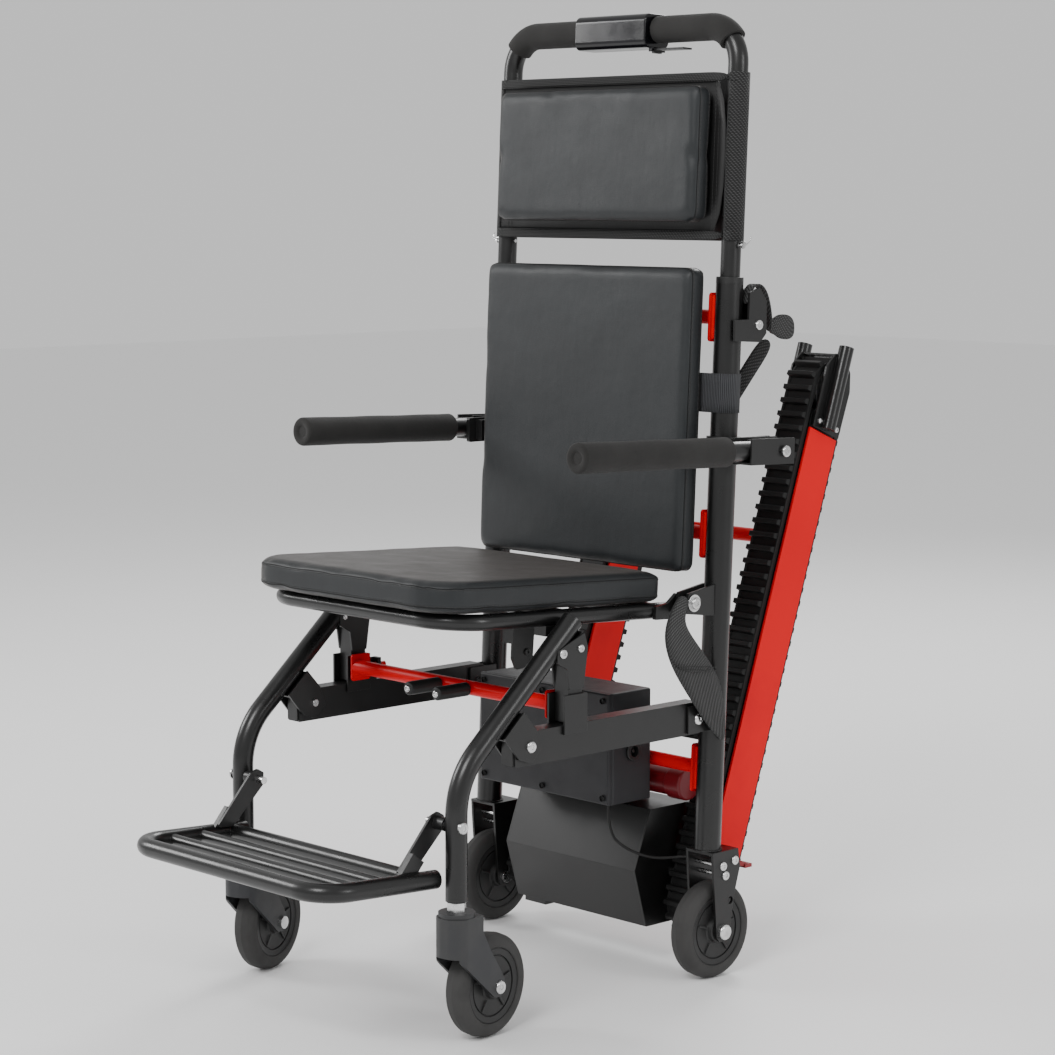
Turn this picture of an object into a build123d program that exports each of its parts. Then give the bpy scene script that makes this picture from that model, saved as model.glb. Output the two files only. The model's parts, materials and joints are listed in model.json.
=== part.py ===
from build123d import *
import os
from math import hypot

# Stair chair: seat, folding front legs and tracked drive on a pair of leaning uprights.
# Millimetres, +Z up, front towards -Y, X across. Dimensions below are laid out from the rear
# axle line; SHIFT moves the origin under the middle of the chair.

# ---- driving dimensions ------------------------------------------------------------------
SHIFT = 180.0           # rear axle line to the middle of the chair
HALF = 225.0            # upright centre from the middle plane
UP_R = 19.0             # upright tube
UP_TOP = 975.0
LEAN = 2.667            # upright lean, degrees
UP_Y0 = -15.7           # upright centre line at floor level
HANDLE_R = 14.0
HANDLE_TOP = 1327.0
HANDLE_BEND = 52.0
WHEEL_R = 69.0
WHEEL_W = 32.0
TYRE_IN = 50.0
REAR_X = 224.0          # rear wheel centre
LEG_X = 222.5           # legs, rails and front casters
LEG_R = 14.5
LEG_TOP = (-270.0, 536.0)
LEG_KNEE = (-478.0, 349.0)
LEG_FOOT_Z = 192.0
RAIL_W = 25.0
RAIL_H = 45.0
RAIL_Z = 377.0
RAIL_PIVOT = (-44.0, 376.0)
KNEE_PIVOT = (-362.0, 380.0)
SEAT_PIVOT = (-50.0, 538.0)
SEAT_TILT = 3.0
SEAT_TUBE_R = 11.0
SEAT_HALF = 194.0       # seat frame side tubes
SEAT_FRONT = -406.0     # seat frame front tube, along the seat
SEAT_T = 41.0
FOOT_PIVOT = (-481.0, 290.0)
FOOT_Z = 229.0          # at the front bar; the back of the footrest sits lower
FOOT_X = 200.0
FOOT_FRONT = -683.0
FOOT_TILT = 3.0
FOOT_R = 12.5
CASTER_Y = -478.0       # swivel axis
TRAIL = 58.0
CASTER_TURN = {"left": 8.0, "right": 18.0}    # as they stand at rest, degrees
ARM_X = 281.0
ARM_PIVOT = (62.0, 745.0)
GRIP_R = 20.5
TRACK_PIVOT = (38.5, 90.0)
TRACK_LEAN = 18.9
TRACK_LEN = 765.0       # lower to upper roller
BELT_IN, BELT_OUT, TOOTH = 32.0, 38.0, 7.5
BELT_X = (141.0, 191.0)
PITCH = 20.0
FIT = 0.05              # running clearance on a radius

arm_y, arm_z = ARM_PIVOT

# ---- helpers -----------------------------------------------------------------------------
BACK = Pos(0, UP_Y0, 0) * Rot(-LEAN, 0, 0)
TRACK = Pos(0, TRACK_PIVOT[0], TRACK_PIVOT[1]) * Rot(-TRACK_LEAN, 0, 0)
SEAT = Pos(0, SEAT_PIVOT[0], SEAT_PIVOT[1]) * Rot(-SEAT_TILT, 0, 0)
FOOT = Pos(0, FOOT_FRONT, FOOT_Z) * Rot(-FOOT_TILT, 0, 0)


def box(x0, x1, y0, y1, z0, z1):
    return Pos((x0 + x1) / 2, (y0 + y1) / 2, (z0 + z1) / 2) * Box(x1 - x0, y1 - y0, z1 - z0)


def rod_x(r, x0, x1, y, z):
    return Pos((x0 + x1) / 2, y, z) * Rot(0, 90, 0) * Cylinder(r, x1 - x0)


def rod_y(r, y0, y1, x, z):
    return Pos(x, (y0 + y1) / 2, z) * Rot(90, 0, 0) * Cylinder(r, y1 - y0)


def rod_z(r, z0, z1, x, y):
    return Pos(x, y, (z0 + z1) / 2) * Cylinder(r, z1 - z0)


def plate(points, x0, x1, corner=0.0):
    face = Plane(origin=(x0, 0, 0), x_dir=(0, 1, 0), z_dir=(1, 0, 0)) * Polygon(*points, align=None)
    if corner:
        face = fillet(face.vertices(), corner)
    return extrude(face, amount=x1 - x0, dir=(1, 0, 0))


def pipe(points, r, bore=0.0, bend=None):
    path = Line(*points) if len(points) == 2 else FilletPolyline(*points, radius=bend)
    start = Plane(origin=path @ 0, z_dir=path % 0)
    solid = sweep(start * Circle(r), path=path)
    if bore:
        solid = solid - sweep(start * Circle(bore), path=path)
    return solid


def soft_box(x0, x1, y0, y1, z0, z1, r):
    solid = box(x0, x1, y0, y1, z0, z1)
    return fillet(solid.edges(), r)


def flip(shape):
    return mirror(shape, about=Plane.YZ)


def pair(*shapes):
    return [s for s in shapes] + [flip(s) for s in shapes]


def solids(items):
    found = []
    for item in items if isinstance(items, (list, tuple)) else [items]:
        found += list(item.solids())
    return found


def save(name, items):
    placed = [Pos(0, SHIFT, 0) * s for s in solids(items)]
    for index, solid in enumerate(placed):
        solid.label = f"{name}_{index}"
    whole = Compound(label=name, children=placed) if len(placed) > 1 else placed[0]
    whole.label = name
    export_step(whole, f"parts/{name}.step")
    print(name, len(placed), round(sum(s.volume for s in placed) / 1000, 1))


def side_bolt(x_head, y, z, r=4.0, head=7.0, length=30.0, h=4.5, washer=0.0):
    """Button-head bolt along X; the head's seat is at x_head and the shank runs inwards."""
    top = fillet((rod_x(head, x_head, x_head + h, y, z)).edges().group_by(Axis.X)[-1], h * 0.6)
    socket = Pos(x_head + h - 1.2, y, z) * Rot(0, 90, 0) * extrude(RegularPolygon(head * 0.42, 6), amount=2)
    solid = top - socket + rod_x(r, x_head - length, x_head, y, z)
    if washer:
        solid += rod_x(washer, x_head - 1.5, x_head, y, z)
    return solid


def leg_point(t, n):
    """Point measured t down the leg's sloping run and n to its lower side."""
    dy, dz = LEG_KNEE[0] - LEG_TOP[0], LEG_KNEE[1] - LEG_TOP[1]
    run = hypot(dy, dz)
    uy, uz = dy / run, dz / run
    return LEG_TOP[0] + t * uy - n * uz, LEG_TOP[1] + t * uz + n * uy


os.makedirs("parts", exist_ok=True)

# ---- frame: uprights and what is welded to them ----------------------------------------------
upright = BACK * (rod_z(UP_R, 150, UP_TOP, HALF, 0) - rod_z(UP_R - 3, 149, UP_TOP + 1, HALF, 0))
upright -= box(150, 300, -80, 80, 100, 184)
upright_core = BACK * rod_z(UP_R + FIT, 150, UP_TOP, HALF, 0)
collar = rod_z(UP_R, UP_TOP, UP_TOP + 9, HALF, 0) + rod_z(UP_R - 3 - FIT, UP_TOP - 45, UP_TOP, HALF, 0)
collar -= rod_z(HANDLE_R + FIT, 900, 1000, HALF, 0)
collar = fillet(collar.edges().filter_by(GeomType.CIRCLE).group_by(Axis.Z)[-1], 1.2)
save("upright_collars", pair(BACK * collar))

# Black beam behind the rails and red tie bars between the uprights
beam = box(-215, 215, -9.5, 16, 338, 368) - box(-216, 216, -6.5, 13, 341, 365)
save("upright_tubes", pair(upright) + [beam - upright_core - flip(upright_core)])
tie = []
for z in (298.0, 627.0, 928.0):
    bar = rod_x(10, -204, 204, 0, z) - rod_x(8, -205, 205, 0, z)
    flange = plate([(-14, z - 34), (14, z - 34), (14, z + 34), (-14, z + 34)], 200, 204, 5)
    flange += box(203.9, 212, -10, 10, z - 30, z + 30)
    tie.append(bar + flange + flip(flange))
core_back = rod_z(UP_R + FIT, 150, UP_TOP, HALF, 0)
save("tie_bars", [BACK * (t - core_back - flip(core_back)) for t in tie])

# Rear wheel forks
fork_side = [(-22, 184), (30, 184), (34, 158), (22, 118), (13, 62), (7, 55), (-7, 55), (-13, 62), (-20, 150)]
inner = plate(fork_side, 198, 202, 3)
outer = plate(fork_side, 246, 250, 3)
fork = inner + outer + box(198, 250, -22, 30, 180, 184)
fork -= rod_x(5.5, 190, 260, 14, 112)
axle = rod_x(6, 195, 253, 0, WHEEL_R)
axle += fillet(rod_x(11, 250, 257, 0, WHEEL_R).edges().group_by(Axis.X)[-1], 3)
axle += rod_x(9, 193, 198, 0, WHEEL_R)
fork_bolt_places = ((-2, 163), (3, 149), (22, 168))
fork_bolts = [side_bolt(250, y, z, 3, 6.5, 50, 3.5) for y, z in fork_bolt_places]
for b in fork_bolts + [axle]:
    fork -= b
save("rear_forks", pair(fork))

# Brackets for the rails and the seat
bracket_side = [(-62, 357), (-10, 357), (-10, 395), (-62, 395)]
bracket = plate(bracket_side, 236, 239) + plate(bracket_side, 206, 209)
bracket -= upright_core
rail_bolt = side_bolt(239, *RAIL_PIVOT, 5, 8, 42, 5)
bracket -= rail_bolt
seat_bracket_side = [(-64, 524), (-8, 516), (-8, 560), (-60, 552)]
seat_bracket = plate(seat_bracket_side, 213, 217) + plate(seat_bracket_side, 232, 236)
seat_bracket -= upright_core
seat_bolt = side_bolt(238, *SEAT_PIVOT, 5, 8.5, 42, 5, 12)
seat_bracket -= seat_bolt

# Armrest brackets: clamp round the upright and a cheek for the pivot bolt
clamp = rod_z(24, arm_z - 19, arm_z + 19, HALF, 0) - rod_z(UP_R + FIT, 0, 1000, HALF, 0)
cheek = plate([(-22, 727), (78, 727), (84, 735), (84, 755), (78, 763), (-22, 763)], 252, 258, 3)
arm_bracket = BACK * clamp + cheek + box(240, 254, -8, 30, 730, 760) - upright_core
arm_bolt = side_bolt(302, *ARM_PIVOT, 5, 8, 49, 4)
arm_bracket -= arm_bolt

# Strap holder behind the near upright
holder_side = [(10, 896), (62, 893), (74, 905), (74, 950), (60, 968), (40, 962), (38, 925), (10, 925)]
holder = plate(holder_side, 228, 232) + plate(holder_side, 250, 254)
holder += box(228, 254, 60, 64, 900, 950)
holder -= upright_core
holder_bolt = side_bolt(254, 57, 917, 4, 7, 28, 4)

frame_bolts = fork_bolts + [axle, rail_bolt, seat_bolt, arm_bolt]
save("frame_bolts", pair(*frame_bolts) + [holder_bolt])

# ---- battery and drive -----------------------------------------------------------------------
case = box(-132, 132, -104, -24, 246, 404)
case = fillet(case.edges().filter_by(Axis.Z), 5)
case = fillet(case.edges().group_by(Axis.Z)[-1], 3)
hollow = box(-128, 128, -110, -28, 250, 400)
cover = fillet(box(-132, 132, -111, -104, 246, 404).edges().group_by(Axis.Y)[0], 3)
socket = fillet(rod_x(14, 132, 136, -62, 318).edges().group_by(Axis.X)[-1], 1.5)
socket += rod_x(10, 120, 132, -62, 318)
socket -= rod_x(8, 126, 137, -62, 318)
socket += rod_x(2.5, 124, 133, -62, 318)
case_screws = [rod_y(4, -113, -109.5, x, z) for x in (-122, 0, 122) for z in (256, 394)]
case = case - hollow - socket + box(-40, 40, -30, -24, 300, 350)
for s in case_screws:
    cover -= s
save("battery_case", [case - rod_x(10.2, 110, 140, -62, 318), cover])
save("battery_cells", fillet(box(-116, 112, -94, -34, 262, 392).edges().filter_by(Axis.Z), 4))
save("charge_socket", socket)

shell_out = [(-34, 60), (-58, 144.5), (-26, 229), (60, 229)]
shell_in = [(60, 226), (-24, 226), (-55, 144.5), (-31.5, 63), (60, 63), (60, 60)]
end = plate([(-34, 60), (-58, 144.5), (-26, 229), (60, 229), (60, 60)], 130, 133)
end -= rod_x(14, 120, 140, *TRACK_PIVOT)
foot_pad = box(-128, -84, -24, -8, 50, 59.9)
save("drive_cover", [plate(shell_out + shell_in, -130, 130), foot_pad] + pair(end))
gearbox = fillet(box(-46, 46, -28, 54, 66, 220).edges().filter_by(Axis.X), 8)
gearbox -= rod_x(8 + FIT, -60, 60, *TRACK_PIVOT)
save("drive_gearbox", gearbox)
motor = rod_x(20, 70, 131, 22, 262) + rod_x(8, 50, 70, 22, 262)
motor_cap = fillet(rod_x(23, 131, 163, 22, 262).edges(), 4)
save("drive_motor", [motor, motor_cap])
tie_low = BACK * rod_x(10 + FIT, -204, 204, 0, 298)
hang_side = [(-20, 229), (46, 229), (46, 260), (14, 318), (-20, 318)]
hangers = [plate(hang_side, x, x + 4) - tie_low - rod_x(8 + FIT, 40, 70, 22, 262) for x in (56, -60)]
save("frame_brackets", pair(bracket, seat_bracket, arm_bracket) + [holder - holder_bolt] + hangers)

cable = [(118, -96, 246), (118, -98, 205), (132, -74, 178),
         (158, -42, 164), (186, -8, 168), (197.8, -8, 168)]
save("power_cable", pipe([Vector(*p) for p in cable], 2.0, bend=[24, 40, 40, 20]))

# ---- backrest --------------------------------------------------------------------------------
cushion = soft_box(-208, 208, -60, -25, 573, 996, 9)
save("backrest_cushion", BACK * cushion)
wrap = rod_z(21.2, 796, 852, HALF, 0) - rod_z(19.2, 790, 860, HALF, 0)
tongue = box(182, 225, -24.6, -22.6, 796, 852)
bridge = box(222, 227, -24.6, -20.5, 796, 852)
wrap = wrap + tongue + bridge
save("backrest_straps", pair(BACK * wrap))

# ---- straps on the frame ---------------------------------------------------------------------
lap = [(-90, 559), (-113, 529), (-123, 507), (-121, 482), (-105, 450), (-69, 407), (-36, 369), (-3, 338),
       (3, 363), (0, 398), (-17, 438), (-49, 474), (-74, 502), (-86, 522), (-70, 546)]
save("lap_strap", plate(lap, 247, 249, 2))
strap_loop = [(44, 945), (50, 970), (66, 976), (80, 968), (92, 930), (96, 900), (94, 899), (90, 930), (78, 966)]
strap_loop += [(66, 973.5), (52, 968), (46, 945)]
tail_top, tail_end = Vector(241, 90, 896), Vector(190, 34, 770)
tail_plane = Plane(origin=tail_top, z_dir=tail_end - tail_top, x_dir=(0.63, 0.577, -0.512))
band = tail_plane * Pos(0, 0, 74) * Box(22, 1.6, 148)
pad = rod_x(18, 239, 243, 128, 912) + box(239, 243, 93, 128, 902, 924)
save("chest_strap", [plate(strap_loop, 233.5, 248.5), band, pad])

# ---- handle and headrest -----------------------------------------------------------------------
top = HANDLE_TOP
frame_path = [(-HALF, 0, 720), (-HALF, 0, top), (HALF, 0, top), (HALF, 0, 720)]
save("handle_tube", BACK * pipe(frame_path, HANDLE_R, HANDLE_R - 2, HANDLE_BEND))
arc = CenterArc((0, 0), HANDLE_BEND, 90, -50)
flat = Plane(origin=(HALF - HANDLE_BEND, 0, top - HANDLE_BEND), x_dir=(1, 0, 0), z_dir=(0, -1, 0))
route = Curve() + Line((72, 0, top), (HALF - HANDLE_BEND, 0, top)) + flat * arc
begin = Plane(origin=(72, 0, top), z_dir=(1, 0, 0))
grip = sweep(begin * (Circle(19) - Circle(HANDLE_R + FIT)), path=route)
save("handle_grips", pair(BACK * grip))
housing = fillet(box(-72, 68, -25, 25, top - 26, top + 22).edges().filter_by(Axis.X), 11)
housing = fillet(housing.edges().filter_by(Axis.X, reverse=True), 2)
housing -= rod_x(HANDLE_R + FIT, -80, 80, 0, top)
for ear_y in (-13.5, 9.5):
    housing += box(66, 72, ear_y, ear_y + 4, top - 31, top - 25)
housing -= rod_y(1.5 + FIT, -14, 14, 69, top - 28)
save("control_housing", BACK * housing)
lever = plate([(-9, top - 29), (9, top - 29), (9, top - 26.5), (-9, top - 26.5)], 69, 128)
lever = lever + box(66, 72, -7, 7, top - 33, top - 26.5) + rod_y(1.5, -13, 13, 69, top - 28)
save("travel_lever", BACK * lever)
panel = box(-HALF - 18, HALF + 18, -18, 18, 1034, 1263)
panel = fillet(panel.edges().filter_by(Axis.Z), 16)
inside = box(-HALF - 16, HALF + 16, -16, 16, 1030, 1270)
inside = fillet(inside.edges().filter_by(Axis.Z), 14.5)
save("headrest_panel", BACK * (panel - inside))
save("headrest_cushion", BACK * soft_box(-202, 202, -53, -18.5, 1056, 1246, 10))
clip = rod_x(2.5, HALF - 17, HALF + 24, 0, 1028) + rod_x(4, HALF + 20, HALF + 24, 0, 1028)
handle_core = rod_z(HANDLE_R + FIT, 700, 1300, HALF, 0)
save("headrest_clips", pair(BACK * (clip - handle_core)))

# ---- rails and release bar -----------------------------------------------------------------------
x0, x1 = LEG_X - RAIL_W / 2, LEG_X + RAIL_W / 2
z0, z1 = RAIL_Z - RAIL_H / 2, RAIL_Z + RAIL_H / 2
rail = box(x0, x1, -386, -30, z0, z1)
rail = fillet(rail.edges().filter_by(Axis.X).group_by(Axis.Y)[-1], 9)
rail -= box(x0 + 2, x1 - 2, -390, -40, z0 + 2, z1 - 2)
rail -= rod_x(5 + FIT, 190, 250, *RAIL_PIVOT)
knee_bolt = side_bolt(238.5, *KNEE_PIVOT, 5, 8, 36, 5)
rail -= rod_x(5 + FIT, 190, 250, *KNEE_PIVOT)
save("side_rails", pair(rail))
rail_plug = box(x0 + 2, x1 - 2, -389, -374, z0 + 2, z1 - 2)
seat_cup = box(x0 - 4, x0 - 1, -300, -258, z1 - 12, z1 + 40)
seat_cup += box(x1 + 1, x1 + 4, -300, -258, z1 - 12, z1 + 40)
seat_cup += box(x0 - 4, x1 + 4, -261, -258, z1, z1 + 40)
seat_cup += box(x0 - 14, x0 - 1, -252, -246, z1 + 12, z1 + 34) + box(x0 - 4, x0 - 1, -261, -246, z1, z1 + 34)
seat_cup -= rod_y(4 + FIT, -270, -240, x0 - 9.5, z1 + 23)
save("latch_cups", pair(seat_cup, rail_plug))
bar_y, bar_z = -288.0, 424.0
release = rod_x(10, -199, 199, bar_y, bar_z) - rod_x(8, -196, 196, bar_y, bar_z)
tab = plate([(-298, 404), (-264, 404), (-264, 442), (-298, 442)], 199, 202, 4)
tab += rod_y(4, -266, -236, x0 - 9.5, z1 + 23)
save("release_bar", release + tab + flip(tab))
grips = []
for gx in (-14.0, 44.0):
    stub = rod_y(9.5, bar_y - 66, bar_y - 10.5, gx, bar_z)
    grips.append(fillet(stub.edges().group_by(Axis.Y)[0], 3))
save("release_grips", grips)

# ---- front legs -----------------------------------------------------------------------------------
leg_path = [(LEG_X, *LEG_TOP), (LEG_X, *LEG_KNEE), (LEG_X, LEG_KNEE[0], LEG_FOOT_Z)]
bore_path = [(LEG_X, *leg_point(4, 0)), (LEG_X, *LEG_KNEE), (LEG_X, LEG_KNEE[0], LEG_FOOT_Z - 1)]
leg = pipe(leg_path, LEG_R, 0, 105)
leg -= pipe(bore_path, LEG_R - 2.5, 0, 105)
gusset_places = ((150, 12), (196, 12), (198, 52), (187, 72), (160, 72), (150, 45))
gusset_side = [leg_point(t, n) for t, n in gusset_places]
gusset = plate(gusset_side, x0 - 4, x0 - 1) + plate(gusset_side, x1 + 1, x1 + 4)
web_side = [leg_point(t, n) for t, n in ((150, 14.7), (196, 14.7), (196, 17.7), (150, 17.7))]
gusset += plate(web_side, x0 - 4, x1 + 4)
gusset -= knee_bolt
leg_core = pipe(leg_path, LEG_R + 0.02, 0, 105)
gusset -= leg_core
ear_side = [(-290, 446), (-264, 446), (-256, 500), (-262, 520), (-312, 500), (-312, 484), (-294, 474)]
strut = box(x0, x1, -290, -264, z1 + 2, 530) - box(x0 + 2.5, x1 - 2.5, -287.5, -266.5, z1 + 1, 540)
strut -= plate([leg_point(t, n) for t, n in ((-60, 15), (120, 15), (120, -60), (-60, -60))], 150, 300)
ears = plate(ear_side, x1 + 0.02, x1 + 3, 2) + plate(ear_side, x0 - 3, x0 - 0.02, 2)
ear_bolts = [side_bolt(x1 + 3, -303, 496, 3.5, 6.5, 31, 4)]
ear_bolts.append(side_bolt(x1 + 3, -270, 500, 3.5, 5.5, 31, 3.5))
foot_bolt = side_bolt(LEG_X + LEG_R, *FOOT_PIVOT, 5, 8, 66, 4.5)
for b in ear_bolts:
    strut -= b
    ears -= b
    leg -= b
ears -= leg_core
leg -= foot_bolt
stem_hole = rod_z(6 + FIT, 180, 240, LEG_X, CASTER_Y)
insert = rod_z(LEG_R - 2.5, LEG_FOOT_Z, 232, LEG_X, CASTER_Y) - stem_hole
save("leg_tubes", pair(leg))
save("leg_brackets", pair(gusset, strut, ears, insert))
save("leg_bolts", pair(knee_bolt, foot_bolt, *ear_bolts))

# ---- footrest --------------------------------------------------------------------------------------
reach = 189.0          # front bar to the back ends, along the footrest
loop = [(-FOOT_X, reach, 0), (-FOOT_X, 0, 0), (FOOT_X, 0, 0), (FOOT_X, reach, 0)]
foot_sides = rod_y(FOOT_R + 0.02, 40, 220, FOOT_X, 0) + rod_y(FOOT_R + 0.02, 40, 220, -FOOT_X, 0)
foot = [pipe(loop, FOOT_R, FOOT_R - 2, 45)]
for y, r in ((61, 8.0), (111, 8.0), (166, 11.0)):
    rung = rod_x(r, -FOOT_X, FOOT_X, y, 0) - rod_x(r - 1.5, -FOOT_X - 1, FOOT_X + 1, y, 0)
    foot.append(rung - foot_sides)
save("footrest_frame", [FOOT * f for f in foot])
foot_arm = plate([(-552, 232), (-524, 230), (-471, 281), (-470, 298), (-480, 304), (-492, 300)], 186, 190, 3)
foot_arm += plate([(-552, 232), (-524, 230), (-512, 244), (-530, 258)], 190, 198)
foot_arm += rod_x(9, 190, LEG_X - LEG_R - 0.3, *FOOT_PIVOT)
foot_arm = foot_arm - FOOT * foot_sides - rod_x(5 + FIT, 150, 250, *FOOT_PIVOT)
save("footrest_arms", pair(foot_arm))

# ---- seat ------------------------------------------------------------------------------------------
tube_z = -13.0


def seat_loop(r, back):
    front_left, front_right = (SEAT_HALF, SEAT_FRONT, tube_z), (-SEAT_HALF, SEAT_FRONT, tube_z)
    return pipe([(-SEAT_HALF, back, tube_z), front_right, front_left, (SEAT_HALF, back, tube_z)], r, 0, 62)


ring = seat_loop(SEAT_TUBE_R, -8)
ring += rod_x(SEAT_TUBE_R, -SEAT_HALF, SEAT_HALF, -40, tube_z)
ring += rod_x(8, -SEAT_HALF, SEAT_HALF, -192, tube_z)
ear = plate([(-46, -24), (8, -24), (12, -6), (10, 9), (-6, 11), (-22, -2), (-46, -6)], 203, 209, 1)
rest = box(182, 204, -250, -206, -36, -22)
seat_frame = ring + ear + flip(ear) + rest + flip(rest)
hinge_hole = rod_x(5 + FIT, 190, 260, 0, 0)
seat_frame -= seat_loop(SEAT_TUBE_R - 2, -9)
save("seat_frame", SEAT * (seat_frame - hinge_hole - flip(hinge_hole)))
seat_plan = Rectangle(416, 410)
seat_plan = fillet(seat_plan.vertices().group_by(Axis.Y)[0], 62)
seat_plan = fillet(seat_plan.vertices().group_by(Axis.Y)[-1], 14)
seat_pad = Pos(0, -235, 0) * extrude(seat_plan, amount=SEAT_T)
seat_pad = fillet(seat_pad.edges().group_by(Axis.Z)[0] + seat_pad.edges().group_by(Axis.Z)[-1], 9)
save("seat_cushion", SEAT * seat_pad)
hook = plate([(-212, -22), (-172, -22), (-174, -92), (-204, -96), (-212, -80)], 98, 102, 3)
hook += plate([(-212, -22), (-172, -22), (-174, -60), (-212, -60)], 84, 88, 3)
hook += box(84, 102, -212, -209, -60, -24)
hook -= rod_x(8.02, 60, 120, -192, tube_z)
hook_bolt = side_bolt(102, -186, -72, 3, 5, 5, 3)
save("seat_hook", SEAT * (hook + hook_bolt))

# ---- casters and rear wheels -------------------------------------------------------------------------
tyre_half = WHEEL_W / 2
profile = [(TYRE_IN, -tyre_half + 1), (TYRE_IN, tyre_half - 1), (WHEEL_R - 9, tyre_half)]
profile += [(WHEEL_R - 3, tyre_half - 4), (WHEEL_R, tyre_half - 10), (WHEEL_R, -tyre_half + 10)]
profile += [(WHEEL_R - 3, -tyre_half + 4), (WHEEL_R - 9, -tyre_half)]
tyre = revolve(Plane.XY * Polygon(*profile, align=None), axis=Axis.Y)
hub_side = [(6 + FIT, 19), (16, 19), (18, 12), (42, 12), (43.5, 13), (TYRE_IN, 13)]
hub_profile = hub_side + [(x, -y) for x, y in reversed(hub_side)]
hub = revolve(Plane.XY * Polygon(*hub_profile, align=None), axis=Axis.Y)
TO_X = Rot(0, 0, 90)


def wheel_at(x, y):
    return Pos(x, y, WHEEL_R) * TO_X * tyre, Pos(x, y, WHEEL_R) * TO_X * hub


caster_y = CASTER_Y + TRAIL
cheek_side = [(-503, 172), (-503, 126), (-494, 114), (-430, 57), (-418, 56), (-408, 66), (-410, 80),
              (-438, 122), (-453, 150), (-453, 172)]
fork_0, fork_1 = LEG_X - 24.5, LEG_X + 24.5
caster_fork = plate(cheek_side, fork_1 - 5, fork_1, 2) + plate(cheek_side, fork_0, fork_0 + 5, 2)
caster_fork += box(fork_0, fork_1, -503, -453, 148, 172) + box(fork_0, fork_1, -503, -495, 120, 149)
fork_plan = box(fork_0, fork_1, -503, -400, 40, 180)
caster_fork &= fillet(fork_plan.edges().filter_by(Axis.Z).group_by(Axis.Y)[0], 20)
caster_fork += rod_z(24, 171, 178, LEG_X, CASTER_Y)
stem = rod_z(6, 150, 230, LEG_X, CASTER_Y)
stem += Pos(LEG_X, CASTER_Y, 178) * extrude(RegularPolygon(13, 6), amount=LEG_FOOT_Z - 178 - 1.5)
caster_axle = side_bolt(fork_1, caster_y, WHEEL_R, 6, 9, 49, 4)
caster_axle += rod_x(9, fork_0 - 4.5, fork_0, caster_y, WHEEL_R)
caster_fork -= stem + caster_axle
for side, name in ((1, "left"), (-1, "right")):
    turn = (lambda shape: shape) if side == 1 else flip
    swivel = Pos(side * LEG_X, CASTER_Y, 0) * Rot(0, 0, CASTER_TURN[name]) * Pos(-side * LEG_X, -CASTER_Y, 0)
    save(f"caster_fork_{name}", swivel * turn(caster_fork))
    save(f"caster_metal_{name}", [swivel * turn(stem), swivel * turn(caster_axle)])
    t, h = wheel_at(LEG_X, caster_y)
    save(f"caster_tyre_{name}", swivel * turn(t))
    save(f"caster_hub_{name}", swivel * turn(h))
    t, h = wheel_at(REAR_X, 0)
    save(f"rear_tyre_{name}", turn(t))
    save(f"rear_hub_{name}", turn(h))
    pedal_side = [(26, 156), (34, 156), (64, 150), (64, 154), (34, 164)]
    pedal = rod_x(5, 208, 240, 30, 160) + box(208, 240, 56, 70, 149, 154)
    pedal += plate(pedal_side, 210, 214) + plate(pedal_side, 234, 238)
    save(f"brake_pedal_{name}", turn(pedal))

    # Armrest: foam over a tube held in a channel that turns on the pivot bolt
    channel = box(263, 299, -4, 84, arm_z - 18, arm_z + 18) - box(266, 296, -5, 85, arm_z - 15, arm_z + 19)
    channel -= rod_x(5 + FIT, 240, 310, arm_y, arm_z)
    channel += box(266, 296, 20, 30, arm_z - 15, arm_z + 15)
    arm_tube = rod_y(HANDLE_R, -318, 19.9, ARM_X, arm_z) - rod_y(HANDLE_R - 2, -315, 19, ARM_X, arm_z)
    foam = rod_y(GRIP_R, -322, -36, ARM_X, arm_z) - rod_y(HANDLE_R + FIT, -318, 0, ARM_X, arm_z)
    foam = fillet(foam.edges().group_by(Axis.Y)[0], 4)
    arm_tilt = Pos(0, arm_y, arm_z) * Rot(-2, 0, 0) * Pos(0, -arm_y, -arm_z)
    save(f"armrest_channel_{name}", [turn(arm_tilt * channel), turn(arm_tilt * arm_tube)])
    save(f"armrest_grip_{name}", turn(arm_tilt * foam))

# ---- track -----------------------------------------------------------------------------------------
b0, b1 = BELT_X
side_view = Plane(origin=(b0, 0, 0), x_dir=(0, 1, 0), z_dir=(1, 0, 0))
upright_slot = Pos(0, TRACK_LEN / 2) * Rot(0, 0, 90)
belt_ring = SlotCenterToCenter(TRACK_LEN, 2 * BELT_OUT) - SlotCenterToCenter(TRACK_LEN, 2 * BELT_IN)
belt_face = upright_slot * belt_ring
count = int(TRACK_LEN / PITCH)
tooth_out = BELT_OUT + TOOTH / 2 - 0.5
tooth = Rectangle(TOOTH + 1, PITCH * 0.5)
teeth = []
for i in range(count):
    for s in (-1, 1):
        teeth.append(Pos(s * tooth_out, (i + 0.5) * TRACK_LEN / count) * tooth)
for k in range(6):
    for base, cy in ((0, TRACK_LEN), (180, 0)):
        teeth.append(Pos(0, cy) * Rot(0, 0, base + 15 + 30 * k) * Pos(tooth_out, 0) * tooth)
belt_face = belt_face + teeth
belt = extrude(side_view * belt_face, amount=b1 - b0)
save("track_belts", pair(TRACK * belt))

roller = rod_x(BELT_IN - 0.3, b0 + 1, b1 - 1, 0, 0)
drive = rod_x(8, -197, 197, 0, 0)
rollers = [TRACK * (drive + roller + flip(roller))]
save("drive_rollers", rollers)
idler = Pos(0, 0, TRACK_LEN) * roller - rod_x(6 + FIT, 100, 250, 0, TRACK_LEN)
save("idler_rollers", [TRACK * s for s in pair(idler)])

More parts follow.
